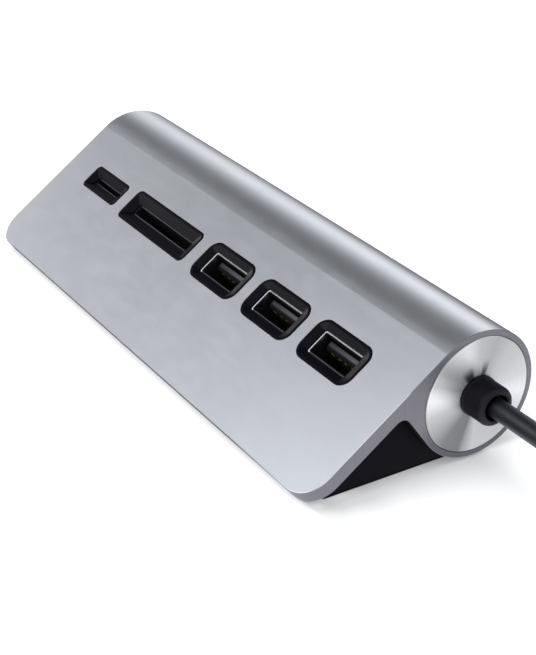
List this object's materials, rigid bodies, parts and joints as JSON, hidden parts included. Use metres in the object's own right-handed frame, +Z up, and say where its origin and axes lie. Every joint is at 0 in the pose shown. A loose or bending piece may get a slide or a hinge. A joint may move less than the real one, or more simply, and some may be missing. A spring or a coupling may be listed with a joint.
{
  "type": "usb hub with card reader",
  "caption": "Desktop USB hub: sloped aluminium plate blending into a tube, with a row of USB-A ports and two card slots, and a flexible cable leaving one end.",
  "frame": {"origin": "middle of the front rubber strip's underside, on the resting plane, midway along the body", "axes": "+X along the body towards the cable end, +Y to the back (the tube side), +Z up"},
  "size_m": [0.2044, 0.1447, 0.0276],
  "materials": {
    "anodised_aluminium": "bead-blasted and anodised, grey silver",
    "turned_aluminium": "fine turned face, bright",
    "tray_plastic": "fine spark-eroded texture",
    "bezel_plastic": "satin moulded",
    "foot_rubber": "matt silicone",
    "screw_steel": "black zinc",
    "shell_steel": "nickel-plated sheet",
    "tongue_plastic": "glass-filled moulding",
    "contact_gold": "gold-flashed",
    "socket_plastic": "glass-filled moulding",
    "board_laminate": "green solder mask",
    "chip_epoxy": "moulded epoxy",
    "ceramic": "fired ceramic",
    "inductor_ferrite": "sintered ferrite",
    "header_nylon": "natural nylon",
    "cable_jacket": "semi-matt elastomer jacket",
    "grommet_rubber": "matt elastomer",
    "wire_insulation": "extruded insulation",
    "plug_plastic": "satin moulded grip"
  },
  "bodies": {
    "hub": {"body_extrusion": "anodised_aluminium", "cable_end_disc": "turned_aluminium", "plain_end_disc": "turned_aluminium", "base_tray": "tray_plastic", "front_foot_strip": "foot_rubber", "rear_foot_strip": "foot_rubber", "base_screws": "screw_steel", "micro_sd_bezel": "bezel_plastic", "sd_bezel": "bezel_plastic", "usb_bezel_left": "bezel_plastic", "usb_bezel_middle": "bezel_plastic", "usb_bezel_right": "bezel_plastic", "usb_shell_left": "shell_steel", "usb_tongue_left": "tongue_plastic", "usb_contacts_left": "contact_gold", "usb_shell_middle": "shell_steel", "usb_tongue_middle": "tongue_plastic", "usb_contacts_middle": "contact_gold", "usb_shell_right": "shell_steel", "usb_tongue_right": "tongue_plastic", "usb_contacts_right": "contact_gold", "sd_socket_guide": "shell_steel", "sd_socket_housing": "socket_plastic", "sd_socket_contacts": "contact_gold", "micro_sd_socket_guide": "shell_steel", "micro_sd_socket_housing": "socket_plastic", "micro_sd_socket_contacts": "contact_gold", "main_board": "board_laminate", "hub_chip": "chip_epoxy", "card_reader_chip": "chip_epoxy", "crystals": "shell_steel", "capacitors": "ceramic", "power_inductors": "inductor_ferrite", "wire_header": "header_nylon", "inner_wires": "wire_insulation", "cable_entry": "cable_jacket", "strain_relief_grommet": "grommet_rubber", "cable_clamp_ring": "shell_steel"},
    "cable_neck": {"cable_bend": "cable_jacket"},
    "cable_free": {"cable_run": "cable_jacket", "plug_strain_relief": "grommet_rubber", "plug_grip": "plug_plastic", "plug_shell": "shell_steel", "plug_contact_carrier": "socket_plastic", "plug_contacts": "contact_gold"}
  },
  "joints": [
    {"name": "cable_swing", "type": "hinge", "parent": "hub", "child": "cable_neck", "pos_m": [0.0814, 0.031, 0.014], "axis": [0, 0, 1], "range_deg": [-45, 45]},
    {"name": "cable_lift", "type": "hinge", "parent": "cable_neck", "child": "cable_free", "pos_m": [0.0882, 0.031, 0.014], "axis": [0, -1, 0], "range_deg": [0, 40]}
  ]
}
